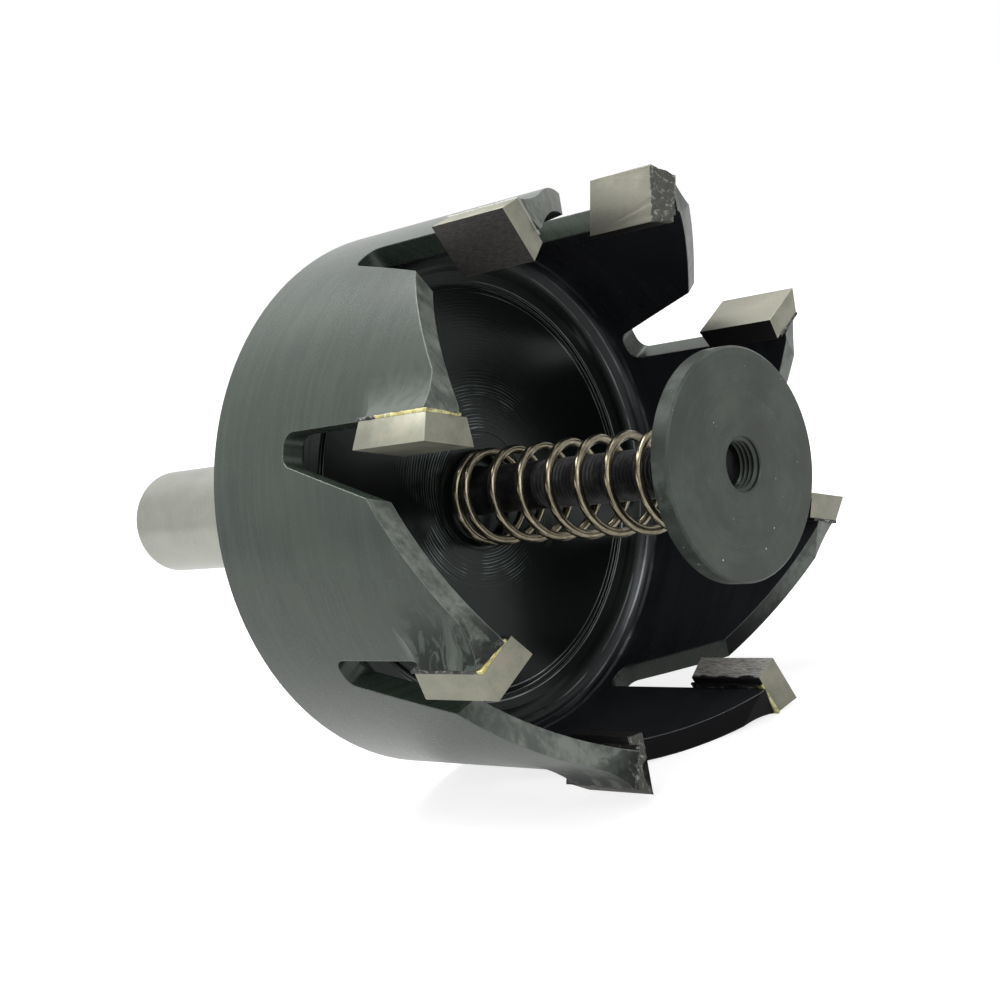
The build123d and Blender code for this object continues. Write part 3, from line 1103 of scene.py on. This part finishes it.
brazeSizes = {
    "cuts": (16, 4, 34),
    "rimWidth": 0.5,
    "rimPower": 1.5,
    "bulge": 0.07,
    "leastBulge": 0.25,
    "proud": 0.07,
    "layer": 0.125,
    "inward": 0.2,
    "overTip": 0.1,
    "patternShift": 3.0,
    "layers": ((0.9, 1.0), (2.6, 0.6)),
    "innerShare": -0.9,
    # how full each bead is, how far its outer side and its end were cleaned, and how ashen it is
    "full": {1: 1.0, 5: 0.6, 6: 0.8, 7: 0.8},
    "fullElse": 0.3,
    "cleaned": {1: (0.3, 0.9), 2: (0, 0.2), 3: (0, 0.2), 6: (0.8, 0.55), 7: (0.25, 0.85)},
    "ashen": {3: 0.4, 4: 0.45, 5: 1.0, 8: 0.35},
}


def rise(value, low, high):
    # 0 up to low, 1 from high, straight between
    return min(1.0, max(0.0, (value - low) / (high - low)))


def buildBraze(index, material):
    # a thin layer that swells into an uneven bead where the filler was squeezed out of the seam
    sizes = brazeSizes
    name = f"braze_seam_{index}"
    low, high = toolBox(name, toothPlace(index))
    tipHigh = toolBox(f"carbide_tip_{index}", toothPlace(index))[1]
    low.x -= sizes["inward"]
    high.z = min(high.z, tipHigh.z + sizes["overTip"])
    half = (high - low) / 2
    full = sizes["full"].get(index, sizes["fullElse"])
    outerClean, endClean = sizes["cleaned"].get(index, (0, 0))
    work = bmesh.new()
    bmesh.ops.create_cube(work, size=2.0)
    for axis in range(3):
        # the edges along this axis still have the cube's whole length, 2
        edges = [
            edge for edge in work.edges
            if abs(edge.verts[0].co[axis] - edge.verts[1].co[axis]) > 1.5
        ]
        bmesh.ops.subdivide_edges(work, edges=edges, cuts=sizes["cuts"][axis], use_grid_fill=True)
    shown = []
    for vert in work.verts:
        across, side, up = vert.co
        fromRim = min((1 - abs(across)) * half.x, (1 - abs(up)) * half.z)
        swell = max(0.0, 1 - fromRim / sizes["rimWidth"]) ** sizes["rimPower"]
        place = Vector((across * half.x, sizes["patternShift"] * index, up * half.z))
        lump = lumps(place, sizes["layers"])
        flat = min(1.0, abs(side))
        push = full * sizes["proud"] * (0.75 + 1.1 * lump) * math.sqrt(1 - flat * flat) * swell
        thick = sizes["layer"] + full * sizes["bulge"] * swell * max(sizes["leastBulge"], 0.8 + lump)
        reach = Vector((
            across * half.x + math.copysign(push, across),
            side * thick,
            up * half.z + math.copysign(push, up),
        ))
        vert.co = (low + high) / 2 + reach
        outerShare = outerClean * rise(across, 0.75, 1.0) * rise(up, -0.6, -0.35)
        endShare = endClean * rise(up, 0.7353, 0.9804)
        # marks the inner side for painted shade
        shadedInner = float(across < sizes["innerShare"])
        shown.append((max(outerShare, endShare), shadedInner, sizes["ashen"].get(index, 0.0)))
    storeCoords(work, "brazeShown", shown)
    bmesh.ops.recalc_face_normals(work, faces=work.faces)
    bmesh.ops.transform(work, matrix=toothPlace(index), verts=work.verts)
    keepPiece(f"brazeSeam{index}", work, "cutter", [name], material, 80)


# Camera, lights and floor

cameraPlace = {
    "location": (136.241, -117.601, 57.234),
    "forward": (-0.71040, 0.68170, -0.17496),
    "up": (0.06609, 0.31212, 0.94774),
    "focus": 1.66553,
    "sensorWidth": 36.0,
    "clipStart": 0.01,
    "clipEnd": 20.0,
}


def makeCamera():
    # focus is the lens's length as a share of the picture's width
    place = cameraPlace
    forward = Vector(place["forward"]).normalized()
    side = forward.cross(Vector(place["up"])).normalized()
    up = side.cross(forward)
    turn = Matrix((side, up, -forward)).transposed().to_4x4()
    camera = bpy.data.cameras.new("camera")
    camera.sensor_width = place["sensorWidth"]
    camera.lens = place["focus"] * camera.sensor_width
    camera.clip_start = place["clipStart"]
    camera.clip_end = place["clipEnd"]
    stand = bpy.data.objects.new("camera", camera)
    stand.matrix_world = Matrix.Translation(Vector(place["location"]) * mm) @ turn
    bpy.context.scene.collection.objects.link(stand)
    bpy.context.scene.camera = stand


lamps = {
    "topSoftbox": {"place": (-0.15, -0.05, 0.6), "size": 0.5, "power": 5.6},
    "leftSoftbox": {"place": (-0.25, -0.55, 0.3), "size": 0.4, "power": 1.0},
    "frontSoftbox": {"place": (0.5, -0.15, 0.4), "size": 0.35, "power": 0.9},
}


def makeLamps():
    middle = (cadBox[0] + cadBox[1]) / 2
    for name, facts in lamps.items():
        light = bpy.data.lights.new(name, "AREA")
        light.shape = "SQUARE"
        light.size = facts["size"]
        light.energy = facts["power"]
        lamp = bpy.data.objects.new(name, light)
        lamp.location = facts["place"]
        lamp.rotation_mode = "QUATERNION"
        lamp.rotation_quaternion = (middle - Vector(facts["place"])).to_track_quat("-Z", "Y")
        bpy.context.scene.collection.objects.link(lamp)


worldLight = {
    "lighting": 0.4,
    "shown": 1.0,
}


def makeWorld():
    # white where it is seen, and dimmer where it only lights the tool
    world = bpy.data.worlds.new("studio")
    bpy.context.scene.world = world
    shade = Shade(world, "Background", Color=grey(1.0))
    shade.feed("Strength", shade.spread(shade.shownRays(), worldLight["lighting"], worldLight["shown"]))


floorLook = {
    "radius": 6.0,
    "sides": 96,
    "paper": 0.42,
    "unevenness": 0.96,
    "cloudPattern": (3.0, 2.0),
    "glow": 0.78,
    "mirrorGlow": 0.56,
}


def makeFloor():
    # the paper takes the tool's shadow, and its glow shows only to the camera and in the metal
    look = floorLook
    work = bmesh.new()
    bmesh.ops.create_circle(work, cap_ends=True, segments=look["sides"], radius=look["radius"])
    mesh = bpy.data.meshes.new("floor")
    work.to_mesh(mesh)
    work.free()
    shade = startMaterial("floor", Roughness=0.9, Emission_Strength=1.0)
    cloud = shade.noise(shade.coords(), *look["cloudPattern"])
    paper = look["paper"]
    shade.feed("Base Color", shade.mix(cloud, grey(paper * look["unevenness"]), grey(paper)))
    glow = shade.mix(shade.rays("Camera"), grey(look["mirrorGlow"]), grey(look["glow"]))
    shade.feed("Emission Color", shade.mix(shade.shownRays(), grey(0.0), glow))
    mesh.materials.append(shade.owner)
    floor = bpy.data.objects.new("floor", mesh)
    bpy.context.scene.collection.objects.link(floor)


def dress(name, material):
    # gives a CAD node that keeps its own solid a new finish
    piece = nodes[name]
    piece.data.materials.clear()
    piece.data.materials.append(material)


print("materials")
groundCarbide = carbide("groundCarbide", False)
brokenCarbide = carbide("brokenCarbide", True)
brazing = brazeMetal()
dress("cutter_body", blackenedSteel())
dress("shank", groundSteel())
print("ejector")
buildSpring(springWire())
buildDisc(darkSteel())
buildScrew(blackScrew())
print("teeth")
for tooth in range(1, toothCount + 1):
    buildTip(tooth, groundCarbide, brokenCarbide)
    buildBraze(tooth, brazing)
print("camera and lights")
makeCamera()
makeLamps()
makeWorld()
makeFloor()
bpy.context.scene.view_settings.view_transform = "Standard"
